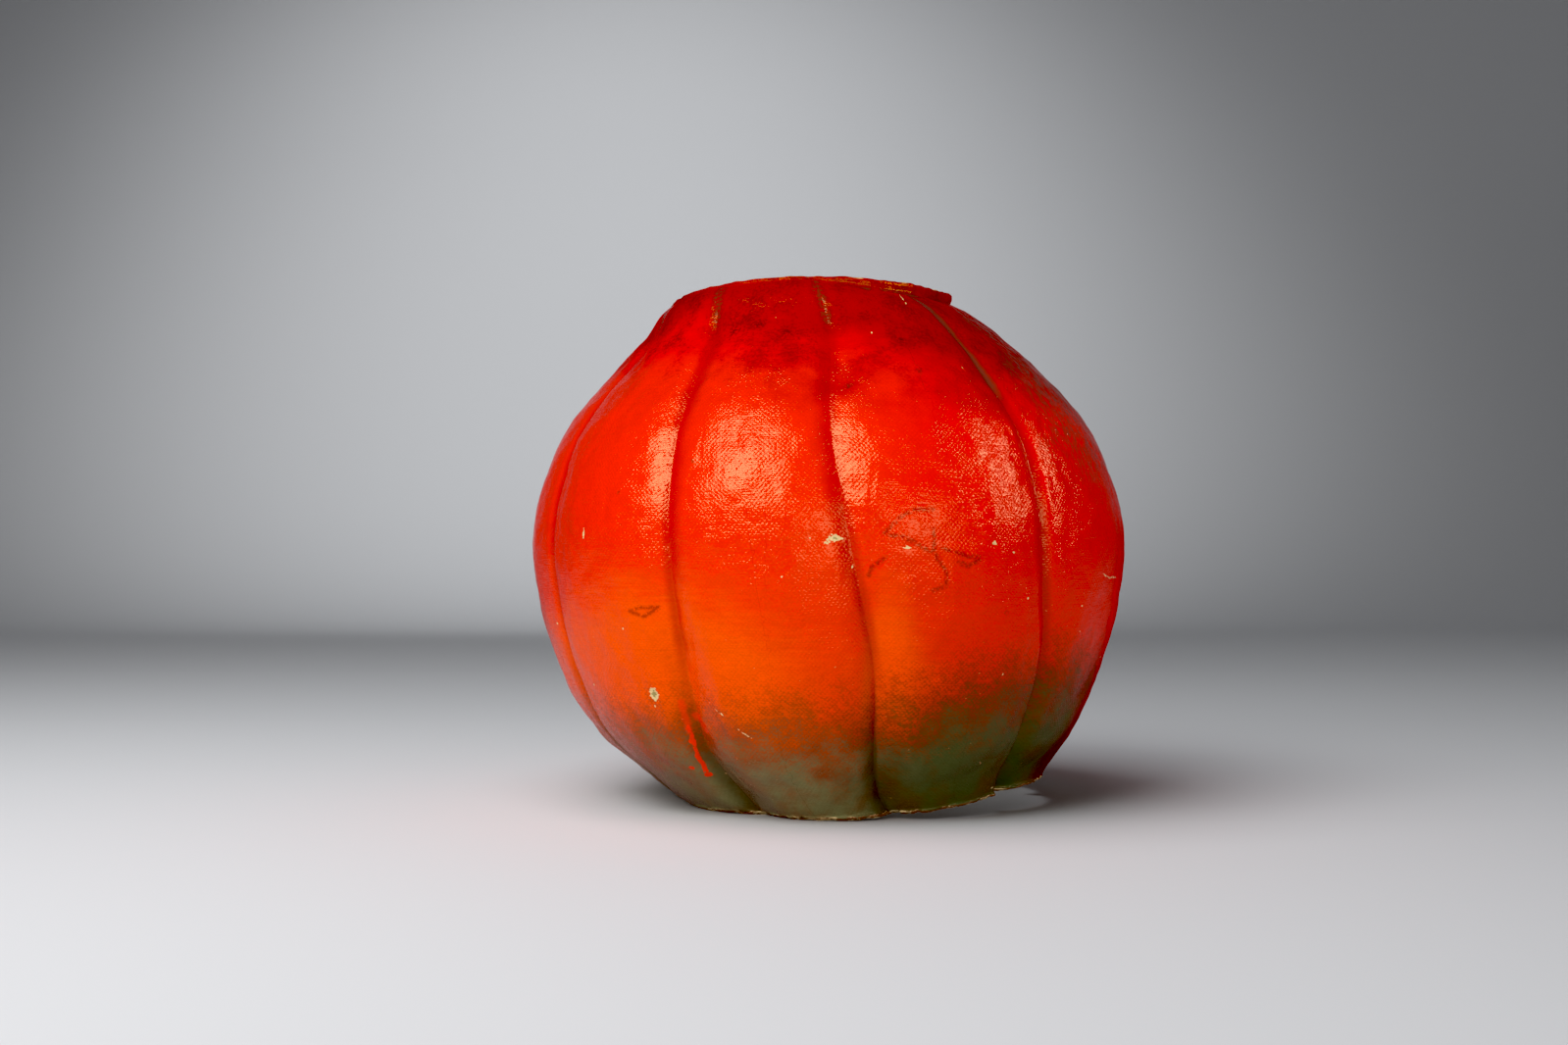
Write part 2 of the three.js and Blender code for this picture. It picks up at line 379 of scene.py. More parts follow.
def bodyRelief(body, placed):       # how far hand work and age have moved the outer surface out or in
    r = reliefForm
    place, height = body["place"], body["height"]
    relief = roughen(place, [r[name] for name in ("dents", "lumps", "knobbles", "crumples")])
    relief += roughen(place, [r["lowLumps"]]) * smooth(height, *r["lowLumpHeights"])
    folds = 1 - smooth(np.abs(wobble(place, r["puckerSize"], r["puckerSeed"])), 0, r["puckerWidth"])
    relief -= r["puckers"] * folds * patches(place, *r["puckerPatches"])
    near = 1 - smooth(np.abs(height - r["seamHeight"]), *r["seamBand"])
    relief += roughen(place, [r["seamFolds"]]) * near * patches(place, *r["seamPatches"])
    relief -= r["chipDepth"] * smooth(fromOvals(place, placed["chips"]), *r["chipEdge"])
    relief += r["dripRise"] * smooth(fromPaths(place, placed["drips"]), *r["dripEdge"])
    return relief * smooth(height, 0, r["calmEdge"])


def shapeBottomEdge(outer, lengths):        # the cut edge, ragged and a little thickened
    e = edgeForm
    rim = outer[:, 0]
    ragged = sum(depth * np.maximum(wobble(rim, size, seed), 0) for depth, size, seed in e["notches"])
    ragged += e["tearDepth"] * patches(rim, *e["tears"])
    centre = np.array([*e["bottomOffset"], 0])
    away = outer - centre
    away[..., 2] = 0
    away /= np.linalg.norm(away, axis=-1, keepdims=True)
    outer[..., 2] += ragged[:, None] * (1 - smooth(lengths, 0, e["notchReach"]))
    outer += away * (e["bottomBead"] * (1 - smooth(lengths, *e["beadEnd"])))[None, :, None]
    return outer[:, 0] - away[:, 0] * e["bottomWall"]


def shapeCollar(azimuth):
    e = edgeForm
    angle = np.radians(azimuth)
    out = np.stack([np.sin(angle), -np.cos(angle), np.zeros(len(angle))], -1)
    merge = mergeShare(azimuth)
    knob = e["knob"] * np.exp(-((azimuth - e["knobAt"]) / e["knobSpan"]) ** 2)
    rings = []
    for radius, rise in collarSection():
        ring = settle(azimuth, radius, np.full(len(azimuth), float(bodyForm["height"])))
        share = rise / e["collarHeight"]
        ring[:, 2] += rise - e["collarMerge"] * merge * share
        ring[:, 2] += share * roughen(ring, e["collarWaves"])
        side = 1 if radius > e["collarRadius"] - e["collarWall"] / 2 else e["knobInside"]
        ring += out * (roughen(ring, e["collarSway"]) + side * knob)[:, None]
        rings.append(ring)
    return np.stack(rings, 1)


def upFromEdge(lengths, collarCount, innerRows, collarStep):    # mm from the bottom edge at each row
    collar = lengths[-1] + collarStep * np.arange(1, collarCount + 1)
    return np.concatenate([lengths, collar, lengths[innerRows], [0]])


def shapeShell():
    b, m, r = bodyForm, meshSteps, reliefForm
    lobes, across = lobeColumns()
    shares, lengths = bodyShares()
    collar = collarSection()
    innerTop, innerBottom = m["innerInset"]
    innerRows = np.linspace(m["bodyRows"] - innerTop, innerBottom, m["innerRows"]).round().astype(int)

    spots = alongSpline(b["outline"], shares)
    section = [tuple(p) for p in spots]
    section += [(radius, b["height"] + rise) for radius, rise in collar]
    section += [(spots[row][0] - b["wall"], spots[row][1]) for row in innerRows]
    section += [(spots[0][0] - edgeForm["bottomWall"], 0)]
    shell = turnSection(drawSection(section), len(lobes))
    print("shell turned:", len(shell.data.vertices), "vertices")

    body = bodySurface(lobes[:, None], across[:, None], shares[None, :])
    grid = body["place"]
    placed = placeMarks(body)
    normals = gridNormals(grid)
    outer = grid + normals * bodyRelief(body, placed)[..., None]
    edge = shapeBottomEdge(outer, lengths)
    inner = grid[:, innerRows] - normals[:, innerRows] * b["wall"]
    inner -= normals[:, innerRows] * roughen(inner, [r["innerLumps"], r["innerCrumples"]])[..., None]
    whole = np.concatenate([outer, shapeCollar(body["azimuth"][:, -1]), inner, edge[:, None]], 1)

    # each vertex of the turned mesh is found by its row and column and goes to its place on the lobed surface
    low, high = grid.reshape(-1, 3).min(0), grid.reshape(-1, 3).max(0)
    shift = np.array([-(low[0] + high[0]) / 2, -(low[1] + high[1]) / 2, 0])
    vertices = np.zeros(len(shell.data.vertices) * 3, np.float32)
    shell.data.vertices.foreach_get("co", vertices)
    vertices = vertices.reshape(-1, 3)
    rows = np.zeros(len(vertices), np.float32)
    shell.data.attributes["sectionPlace"].data.foreach_get("value", rows)
    rows = rows.round().astype(int)
    turn = np.arctan2(vertices[:, 1], vertices[:, 0]) % (2 * math.pi)
    columns = (turn / (2 * math.pi) * len(lobes)).round().astype(int) % len(lobes)
    moved = (whole[columns, rows] + shift) * mm
    shell.data.vertices.foreach_set("co", moved.astype(np.float32).ravel())
    shell.data.update()

    stations = shellStations(body, lengths, len(collar), innerRows, whole)
    stations["chip"] = fromOvals(whole, placed["chips"])
    for name, values in stations.items():
        attribute = shell.data.attributes.new(name, "FLOAT", "POINT")
        attribute.data.foreach_set("value", values[columns, rows].astype(np.float32))
    canvasLengths = upFromEdge(lengths, len(collar), innerRows, canvasForm["collarStep"])
    layCanvas(shell, columns, rows, lobes, across, canvasLengths)
    for paths in (placed["scratches"], placed["cracks"], placed["drips"], placed["smears"]):
        paths[:] = [[point + shift for point in path] for path in paths]
    for name in ("specks", "stains", "dripEnds"):
        placed[name] = [(mark[0] + shift, *mark[1:]) for mark in placed[name]]
    return shell, shift, placed


paintEdges = {      # heights at which each paint gives way, by azimuth
    "orange": [
        (-100, 70), (-70, 92), (-57, 99), (-46, 104), (-39, 107.5), (-32, 105), (-29, 114), (-24, 101),
        (-15, 93), (-5, 84), (0, 80), (5, 86), (8, 104), (12, 103), (16, 84), (24, 66), (40, 45), (90, 40),
        (120, 76), (150, 96), (190, 88), (225, 60)],
    "orangeShare": [        # how strong the orange is
        (-100, 0.9), (-16, 1), (-8, 0.6), (0, 0.25), (4, 0.3), (6, 0.9), (13, 0.75), (20, 0.25), (32, 0),
        (95, 0), (125, 0.7), (160, 0.9), (210, 0.7)],
    "green": [
        (-100, 38), (-60, 41), (-40, 46), (-20, 44), (-5, 43), (5, 48), (15, 54), (25, 60), (35, 63),
        (48, 67), (60, 71), (100, 64), (140, 50), (180, 58), (220, 46)],
}

stationForm = {
    "insideCollar": (1, 2.5, 4, 6.5),       # mm past the rim, at the collar's points from its crest inwards
    "insideBody": 8, "insideEdge": 200,     # the same at the first row under the collar and at the cut edge
    "noFurrow": 40.0,                       # distance from a furrow where there is none
    "shadeSwaps": (-12, 80),        # below this azimuth and above this height, furrows are shaded on the left
}


def shellStations(body, lengths, collarCount, innerRows, whole):    # what the paint needs at each vertex
    f = stationForm
    bodyRows, outerRows = len(lengths), len(lengths) + collarCount
    azimuth = body["azimuth"]
    azimuth = np.concatenate([azimuth, np.repeat(azimuth[:, -1:], collarCount, 1), azimuth[:, innerRows],
                              azimuth[:, :1]], 1)
    height = whole[..., 2]
    inside = np.zeros(azimuth.shape)
    inside[:, outerRows - len(f["insideCollar"]):outerRows] = f["insideCollar"]
    inside[:, outerRows:-1] = f["insideBody"] + lengths[-1] - lengths[innerRows]
    inside[:, -1] = f["insideEdge"]
    fromFurrow = np.full(azimuth.shape, f["noFurrow"])
    fromFurrow[:, :bodyRows] = body["fromFurrow"]
    fromEdge = np.tile(upFromEdge(lengths, collarCount, innerRows, 1), (len(azimuth), 1))
    fromCollar = fromEdge - lengths[-1]
    fromCollar[:, outerRows:] = far
    levels = {}
    for name, stations in paintEdges.items():
        at, level = np.array(stations, float).T
        levels[name] = np.interp(azimuth, at, level, period=360)
    swapAzimuth, swapHeight = f["shadeSwaps"]
    shadedSide = fromFurrow * np.where((azimuth < swapAzimuth) & (height > swapHeight), -1, 1)
    return {"sideways": np.sin(np.radians(azimuth)), "inside": inside, "fromFurrow": fromFurrow,
            "fromCollar": fromCollar, "fromEdge": fromEdge, "orangeRise": height - levels["orange"],
            "orangeShare": levels["orangeShare"], "greenRise": height - levels["green"],
            "shadedSide": shadedSide}


canvasForm = {      # lengths in mm, and noises as size, detail and roughness
    "threadStep": (1.09, 1.14),         # distance between threads, across and up
    "threadHeight": 0.13,               # under the paint, and within, where the paper covers them
    "threadWithin": 0.5,
    "lean": (3, 2.4),                   # degrees that the threads lean by, and the change from lobe to lobe
    "lobeShift": 137.0,                 # keeps the noises of one lobe from repeating on the next
    "collarStep": 1.3,                  # between the collar's points
    "longDrift": (11, 2), "longDriftReach": 2.2, "shortDrift": (2.8, 1), "shortDriftReach": 0.9,
    "weft": ((7, 1.3, 1), 1), "warp": ((1.3, 6, 1), 1), "slub": ((4.2, 2.1, 1), 2, 0.6),
    "crossing": (0.12, 0.58),           # height where threads cross, and what a thick weft adds
    "row": (0.15, 0.3),                 # height of the rows of weft, and what a thick warp adds
    "body": 0.15,
    "fill": (6, 4, 0.65), "filledShare": 0.25,      # where paint fills the weave, and how much then shows
}


def layCanvas(shell, columns, rows, lobes, across, length):     # threads run up and across each lobe's middle
    mesh = shell.data
    corners = np.zeros(len(mesh.loops), np.int32)
    mesh.loops.foreach_get("vertex_index", corners)
    corner = corners.reshape(-1, 4)
    column = columns[corner]
    wraps = column.max(1) - column.min(1) > len(lobes) / 2
    column = np.where(wraps[:, None] & (column < len(lobes) / 2), column + len(lobes), column)
    first = column.min(1)[:, None]
    lobe = np.broadcast_to(lobes[first % len(lobes)], column.shape)
    there = across[column % len(lobes)]
    there = np.where((column != first) & (there == 0), 1, there)
    shares, lengths = bodyShares()
    spots = alongSpline(bodyForm["outline"], shares)
    place = length[rows[corner]]
    radius = np.interp(place, lengths, spots[:, 0])
    heightShare = np.interp(place, lengths, spots[:, 1]) / bodyForm["height"]
    width = furrowAzimuth(lobe + 1, heightShare) - furrowAzimuth(lobe, heightShare)
    u = (there - 0.5) * np.radians(width) * radius
    lean = np.radians(canvasForm["lean"][0] * np.sin(lobe * canvasForm["lean"][1]))
    uv = np.stack([u * np.cos(lean) + place * np.sin(lean) + lobe * canvasForm["lobeShift"],
                   place * np.cos(lean) - u * np.sin(lean)], -1)
    layer = mesh.uv_layers[0] if mesh.uv_layers else mesh.uv_layers.new(name="canvas")
    layer.name = "canvas"
    layer.data.foreach_set("uv", uv.astype(np.float32).ravel())


# Materials are built from nodes by the two classes that follow.

class Wire:     # an output of a material's node, so that shader maths reads as a sum
    def __init__(self, board, socket):
        self.board = board
        self.socket = socket

    def __add__(self, other):
        return self.board.maths("ADD", self, other)

    def __radd__(self, other):
        return self.board.maths("ADD", other, self)

    def __sub__(self, other):
        return self.board.maths("SUBTRACT", self, other)

    def __rsub__(self, other):
        return self.board.maths("SUBTRACT", other, self)

    def __mul__(self, other):
        return self.board.maths("MULTIPLY", self, other)

    def __rmul__(self, other):
        return self.board.maths("MULTIPLY", other, self)

    def __truediv__(self, other):
        return self.board.maths("DIVIDE", self, other)

    def __abs__(self):
        return self.board.maths("ABSOLUTE", self)


class Board:    # one material's nodes
    def __init__(self, name):
        self.material = bpy.data.materials.new(name)
        self.material.use_nodes = True
        self.tree = self.material.node_tree
        self.shader = self.tree.nodes["Principled BSDF"]

    def put(self, kind, settings, values, out=0):
        node = self.tree.nodes.new("ShaderNode" + kind)
        for name, value in settings.items():
            setattr(node, name, value)
        for key, value in (values.items() if isinstance(values, dict) else enumerate(values)):
            if isinstance(value, Wire):
                self.tree.links.new(value.socket, node.inputs[key])
            else:
                node.inputs[key].default_value = value
        return Wire(self, node.outputs[out])

    def maths(self, operation, *values, limit=False):
        return self.put("Math", {"operation": operation, "use_clamp": limit}, values)

    def pick(self, operation, first, *others):      # the greatest or the least of some values
        for other in others:
            first = self.maths(operation, first, other)
        return first

    def arrows(self, operation, *values, out="Vector"):     # vector maths
        return self.put("VectorMath", {"operation": operation}, values, out)

    def scaled(self, vector, share):
        return self.put("VectorMath", {"operation": "SCALE"}, {0: vector, "Scale": share})

    def split(self, vector):
        node = self.tree.nodes.new("ShaderNodeSeparateXYZ")
        self.tree.links.new(vector.socket, node.inputs[0])
        return [Wire(self, output) for output in node.outputs]

    def mask(self, value, low, high):       # 0 at low and 1 at high, with soft ends
        return self.put("MapRange", {"interpolation_type": "SMOOTHSTEP"},
                        {"Value": value, "From Min": low, "From Max": high})

    def mix(self, share, colourA, colourB):
        return self.put("Mix", {"data_type": "RGBA"}, {0: share, 6: colourA, 7: colourB}, 2)

    def station(self, name):
        return self.put("Attribute", {"attribute_name": name}, [], "Fac")

    def noise(self, place, size, detail=2.0, roughness=0.5, out=0):     # size in mm, or one along each axis
        if not isinstance(size, tuple):
            size = (size, size, size)
        values = {"Vector": self.arrows("DIVIDE", place, size), "Scale": 1.0, "Detail": detail,
                  "Roughness": roughness}
        return self.put("TexNoise", {}, values, out)

    def fromPaths(self, place, paths):      # distance in mm from the nearest of some paths
        distances = []
        for path in paths:
            for start, end in zip(path, path[1:]):
                run = Vector(end) - Vector(start)
                away = self.arrows("SUBTRACT", place, tuple(start))
                share = self.arrows("DOT_PRODUCT", away, tuple(run / run.length_squared), out="Value")
                foot = self.scaled(tuple(run), self.maths("ADD", share, 0, limit=True))
                distances.append(self.arrows("DISTANCE", away, foot, out="Value"))
        return self.pick("MINIMUM", *distances)

    def fromSpots(self, place, spots):      # the least of the distances from round spots, each over its size
        shares = [self.arrows("DISTANCE", place, tuple(centre), out="Value") / size for centre, size in spots]
        return self.pick("MINIMUM", *shares)

    def feed(self, name, value):
        socket = self.shader.inputs[name]
        if isinstance(value, Wire):
            self.tree.links.new(value.socket, socket)
        else:
            socket.default_value = value


def rgb(red, green, blue):      # a colour as a paint chart gives it, in 0 to 255
    def linear(c):
        c = c / 255
        return c / 12.92 if c <= 0.04045 else ((c + 0.055) / 1.055) ** 2.4
    return (linear(red), linear(green), linear(blue), 1)


paintTones = {
    "scarlet": rgb(236, 49, 0), "crimson": rgb(228, 24, 0), "orange": rgb(247, 88, 0),
    "deepRed": rgb(176, 7, 0), "darkRed": rgb(118, 10, 2),
    # each of the green and the brown comes as a lighter tone for the left and a darker one for the right,
    # partly painted sheen and painted shade
    "green": rgb(118, 132, 102), "darkGreen": rgb(62, 92, 64),
    "brown": rgb(140, 68, 30), "redBrown": rgb(102, 38, 8),
    # the grey-brown of dust and of painted grey sheen, then the near black of painted shade, which also
    # darkens the weave's gaps in the green
    "dustAndSheen": rgb(88, 62, 50), "darkShadeAndPits": rgb(34, 26, 8), "stain": rgb(70, 34, 22),
    "crack": rgb(140, 18, 4), "drip": rgb(240, 44, 4),
    "ground": rgb(228, 198, 142), "khaki": rgb(140, 128, 70), "edge": rgb(144, 78, 46),
    "paper": rgb(150, 118, 82), "paperDark": rgb(96, 70, 46),
    "sheen": (1, 0.92, 0.56, 1),        # colour of the gloss, seen square on
    "glaze": (1, 0.5, 0.1, 1),          # colour of a clear glaze over the paint, which tints its reflections too; stronger, it adds painted shade
}

paintNoises = {     # size in mm, detail and roughness
    "cloud": (46, 3), "patch": (17, 4, 0.6), "brush": ((34, 34, 2.2), 4, 0.65), "speckle": (1.4, 2, 0.6),
    "slant": ((3, 12, 18), 3, 0.6), "slantAngle": 0.75,
    "flake": ((9, 9, 3), 4, 0.7), "fleck": ((2.6, 2.6, 1.4), 1),
    "swirl": (2.6, 3, 0.6), "swirlReach": 2.2,      # how far the outlines of marks stray, in mm
    "strips": (38, 38, 16),             # size of the strips of paper inside
}

paintCover = {      # where each layer starts, where it is full, and how much of it shows there if not all
    # sideways, from -1 at the left outline to 1 at the right one
    "crimson": (0.0, 0.6), "dustAndSheenSide": (0.05, 0.35), "east": (-0.24, 0.37), "shoulderSide": (0.68, 0.86),
    "shadeGlazeSide": (0.84, 0.97),
    # by height
    "deepRed": (184, 244), "blotchHeights": (178, 232, 0.7), "shadeHeights": (92, 125),
    "creaseHeights": (60, 90), "dustHeights": (222, 236), "shoulderHeights": (140, 180),
    "darkShadeHeights": (96, 20), "fleckHeights": (110, 30, 0.7), "wornWeave": (196, 226, 0.7),
    "shadeGlazeTop": (204, 228), "shadeGlazeFoot": (100, 60, 0.1), "shadeGlazeSideHeights": (150, 125),
    # by mm above the edge of the orange or the green
    "orange": (16, -18), "brown": (26, -12, 0.9), "green": (2, -30), "greenPits": (20, -20, 0.11),
    "greenDull": (10, -20, 0.1),
    # by mm from a furrow, the collar, a cut edge or a mark
    "shadeStart": (-10, -2), "shadeEnd": (3, 0), "crease": (5, 1),
    "darkShadeStart": (-11, -1), "darkShadeEnd": (1.5, 0), "dustLine": (4.4, 0.6, 0.9),
    "collarCrease": (2.6, 0.6), "underCollar": (0, -3), "collarEdge": (1.3, 0.5),
    "cutEdge": (1.9, 1.3), "within": (2.5, 3.6), "chip": (0.25, -0.1), "chipMiddle": (-1.0, -1.7, 0.85),
    "crack": (1.7, 0.17), "smear": (2.7, 0.72, 0.6), "drip": (1.3125, 0.945), "scratch": (0.51, 0.3),
    # by distance from a spot over its size
    "stain": (1.3, 0.2), "dripEnd": (1.1, 0.9), "speck": (1.25, 0.85),
    # by a noise, or by the depth of the weave
    "threads": (0.3, 0.7), "filled": (0.32, 0.66), "pits": (0.45, -0.05), "deepest": (0.0, 1.0),
    "blotches": (0.46, 0.62), "brownInGreen": (0.4, 0.7, 0.4), "flecks": (0.79, 0.815),
    "dustSlubs": (0.3, 0.5), "dustAndSheenPatches": (0.34, 0.52), "dustAndSheenStreaks": (0.3, 0.7, 0.75),
    "dustAndSheenSpeckle": (0.2, 0.6), "stainSpeckle": (0.35, 0.6), "crackSpeckle": (0.32, 0.56, 0.75),
    "scratchSpeckle": (0.42, 0.56), "collarFlakes": (0.74, 0.84, 0.85), "edgeGround": (0.54, 0.58),
    "paperSpeckle": (0.5, 0.75, 0.4),
}

paintFinish = {
    "pitShade": 0.11,           # darker red between the threads
    # how strong the painted shade along the furrows, the darker painted shade in the low creases and the
    # stains are
    "creaseShade": 0.6, "darkShadeAndPits": 0.62, "stain": 0.6,
    "dustAndSheen": (0.75, 0.07),       # how much of the dust and painted sheen shows, and how much more on the right
    "dustReach": 32,            # mm further down that it lies there
    "creaseAt": -1.5, "topEdgeAt": 4.2,     # mm above the collar's foot, up its wall
    "roughness": 0.08, "uneven": 0.1, "stained": 0.2, "gaps": 0.08, "bare": 0.45,   # the last four are added
    "gloss": 0.6,
    "glazeShare": 0.4,          # of the glaze, where it isn't stronger
    "rises": {"weft": 0.03, "warp": 0.02, "slub": 0.24, "patch": 0.24, "slant": 0.05},      # low relief in mm
}


class PaintedSkin(Board):       # the canvas, with the places and noises that its layers of paint share
    def __init__(self, name):
        super().__init__(name)
        n = paintNoises
        self.place = self.scaled(self.put("TexCoord", {}, [], "Object"), 1 / mm)
        self.z = self.split(self.place)[2]
        self.sideways = self.station("sideways")
        self.fromFurrow = abs(self.station("fromFurrow"))
        self.fromCollar = self.station("fromCollar")
        for name in ("cloud", "patch", "brush", "speckle", "flake"):
            setattr(self, name, self.noise(self.place, *n[name]))
        slanting = self.put("VectorRotate", {"rotation_type": "Y_AXIS"},
                            {"Vector": self.place, "Angle": n["slantAngle"]})
        self.slant = self.noise(slanting, *n["slant"])
        swirl = self.arrows("SUBTRACT", self.noise(self.place, *n["swirl"], out="Color"), (0.5, 0.5, 0.5))
        self.strayed = self.arrows("ADD", self.place, self.scaled(swirl, n["swirlReach"]))
        self.weaveCanvas()
        self.pits = self.cover("pits", self.weave + self.sway(speckle=0.9, slub=0.9))
        self.right = self.sideways + self.sway(cloud=0.5)
        self.east = self.cover("east", self.sideways + self.sway(patch=0.5))
        self.aboveGreen = self.station("greenRise") + self.sway(cloud=30, patch=22, slant=16, pits=-7)
        self.aboveGreen = self.aboveGreen + self.sway(speckle=9, slub=10)

    def cover(self, name, value):       # how much of a layer shows
        start, full, *share = paintCover[name]
        shown = self.mask(value, start, full)
        return shown * share[0] if share else shown

    def sway(self, **reaches):          # the sum of some noises, each swinging over its reach about nothing
        swings = [(getattr(self, name) - 0.5) * reach for name, reach in reaches.items()]
        return sum(swings[1:], swings[0])

    def weaveCanvas(self):              # each thread passes over one neighbour and under the next
        c = canvasForm
        drift = self.noise(self.place, *c["longDrift"]) * c["longDriftReach"]
        drift = drift + self.noise(self.place, *c["shortDrift"]) * c["shortDriftReach"]
        across, up, _ = self.split(self.put("UVMap", {"uv_map": "canvas"}, []))
        flat = self.put("CombineXYZ", {}, [across, up, 0.0])
        self.weft = self.cover("threads", self.noise(flat, *c["weft"]))
        self.warp = self.cover("threads", self.noise(flat, *c["warp"]))
        self.slub = self.noise(flat, *c["slub"])
        warpTurn = self.maths("SINE", (across + drift) * (math.pi / c["threadStep"][0]))
        weftTurn = self.maths("SINE", (up + drift) * (math.pi / c["threadStep"][1]))
        crossings = warpTurn * weftTurn * (c["crossing"][0] + c["crossing"][1] * self.weft)
        rows = abs(weftTurn) * (c["row"][0] + c["row"][1] * self.warp)
        filled = self.cover("filled", self.noise(self.place, *c["fill"])) + c["filledShare"]
        self.weave = (crossings + rows + c["body"]) * filled * (1 - self.cover("wornWeave", self.z))


def redPaints(skin):    # scarlet, crimson on the right, deeper above and orange below
    t = paintTones
    colour = skin.mix(skin.cover("crimson", skin.right), t["scarlet"], t["crimson"])
    deep = skin.cover("deepRed", skin.z + skin.sway(cloud=70, brush=12) + skin.right * 20)
    colour = skin.mix(skin.cover("deepest", deep + skin.sway(patch=0.5)), colour, t["deepRed"])
    blotches = skin.cover("blotches", skin.patch * 0.45 + skin.cloud * 0.2 + skin.speckle * 0.35)
    colour = skin.mix(blotches * skin.cover("blotchHeights", skin.z), colour, t["darkRed"])
    orange = skin.cover("orange", skin.station("orangeRise") + skin.sway(brush=26, patch=20))
    colour = skin.mix(orange * skin.station("orangeShare"), colour, t["orange"])
    return skin.mix(skin.pits * paintFinish["pitShade"], colour, t["darkRed"])


def greenPaint(skin, colour):       # dabbed into the weave from below, with brown at its edge
    t = paintTones
    # darker towards the right and lighter, greyer on the left: partly painted shade on the right and painted
    # floor sheen on the left
    brown = skin.mix(skin.east, t["brown"], t["redBrown"])
    green = skin.mix(skin.east, t["green"], t["darkGreen"])
    green = skin.mix(skin.cover("brownInGreen", skin.patch), green, brown)
    colour = skin.mix(skin.cover("brown", skin.aboveGreen), colour, brown)
    colour = skin.mix(skin.cover("green", skin.aboveGreen), colour, green)
    return skin.mix(skin.pits * skin.cover("greenPits", skin.aboveGreen), colour, t["darkShadeAndPits"])


def dustAndSheenCover(skin):    # dust in the upper furrows, and dust with painted grey sheen, standing in for a reflection, under the collar and on the right shoulder
    f = paintFinish
    rightShare = skin.cover("dustAndSheenSide", skin.right)
    line = skin.cover("dustHeights", skin.z + rightShare * f["dustReach"] + skin.sway(cloud=12))
    line = line * skin.cover("dustLine", skin.fromFurrow + skin.sway(patch=10 - rightShare * 4.5))
    line = line * skin.cover("dustSlubs", skin.slub + rightShare * 0.25)
    # painted grey sheen, with dust, along the crease under the collar on the right
    crease = skin.cover("collarCrease", abs(skin.fromCollar - f["creaseAt"]))
    crease = crease * rightShare * skin.cover("dustAndSheenPatches", skin.patch)
    # painted grey sheen, with dust, in streaks on the right shoulder
    shoulder = skin.cover("shoulderSide", skin.sideways + skin.sway(patch=0.2))
    shoulder = shoulder * skin.cover("shoulderHeights", skin.z) * skin.cover("underCollar", skin.fromCollar)
    shoulder = shoulder * skin.cover("dustAndSheenStreaks", skin.warp + skin.sway(patch=0.5))
    speckle = skin.cover("dustAndSheenSpeckle", skin.speckle + rightShare * 0.15)
    return skin.pick("MAXIMUM", line, crease, shoulder) * speckle * (f["dustAndSheen"][0] + f["dustAndSheen"][1] * rightShare)


def shadeAndAgedPaint(skin, colour, dustAndSheen, stains):      # painted shade along the furrows and darker painted shade low in their creases, then dust with painted sheen, flecks and stains
    t, f = paintTones, paintFinish
    shaded = skin.station("shadedSide") + skin.sway(patch=4)        # negative on the side away from the light
    # painted shade: deeper red on each furrow's side away from the light and in its low crease
    shade = skin.cover("shadeStart", shaded) * skin.cover("shadeEnd", shaded)
    shade = shade * skin.cover("shadeHeights", skin.z)
    crease = skin.cover("crease", skin.fromFurrow) * skin.cover("creaseHeights", skin.z)
    colour = skin.mix(skin.pick("MAXIMUM", shade, crease) * f["creaseShade"], colour, t["deepRed"])
    colour = skin.mix(dustAndSheen, colour, t["dustAndSheen"])
    # darker painted shade: near black on the shaded side of the low furrows
    darkShadeAndPits = skin.cover("darkShadeStart", shaded) * skin.cover("darkShadeEnd", shaded) * skin.cover("darkShadeHeights", skin.z)
    colour = skin.mix(darkShadeAndPits * f["darkShadeAndPits"], colour, t["darkShadeAndPits"])
    flecks = skin.cover("flecks", skin.noise(skin.place, *paintNoises["fleck"]))
    colour = skin.mix(flecks * skin.cover("fleckHeights", skin.z), colour, t["ground"])
    return skin.mix(stains * f["stain"], colour, t["stain"])


def runsAndCracks(skin, colour, placed):
    t = paintTones
    crack = skin.cover("crack", skin.fromPaths(skin.strayed, placed["cracks"]))
    colour = skin.mix(crack * skin.cover("crackSpeckle", skin.speckle), colour, t["crack"])
    smear = skin.cover("smear", skin.fromPaths(skin.strayed, placed["smears"]))
    colour = skin.mix(smear, colour, t["drip"])
    drip = skin.cover("drip", skin.fromPaths(skin.strayed, placed["drips"]) + skin.sway(speckle=1.2))
    dripEnd = skin.cover("dripEnd", skin.fromSpots(skin.strayed, placed["dripEnds"]))
    return skin.mix(skin.pick("MAXIMUM", drip, dripEnd), colour, t["drip"])


def scratchesAndChips(skin, colour, placed):        # bare ground, with its cover
    t = paintTones
    scratch = skin.cover("scratch", skin.fromPaths(skin.strayed, placed["scratches"]))
    scratch = scratch * skin.cover("scratchSpeckle", skin.speckle)
    speckSpots = [(centre, placed["speckSize"]) for centre, in placed["specks"]]
    speck = skin.cover("speck", skin.fromSpots(skin.strayed, speckSpots))
    fromChip = skin.station("chip") + skin.sway(speckle=2.0) + (0.3 - skin.weave) * 1.2
    bare = skin.pick("MAXIMUM", scratch, speck, skin.cover("chip", fromChip))
    ground = skin.mix(skin.cover("chipMiddle", fromChip), t["ground"], t["khaki"])
    return skin.mix(bare, colour, ground), bare


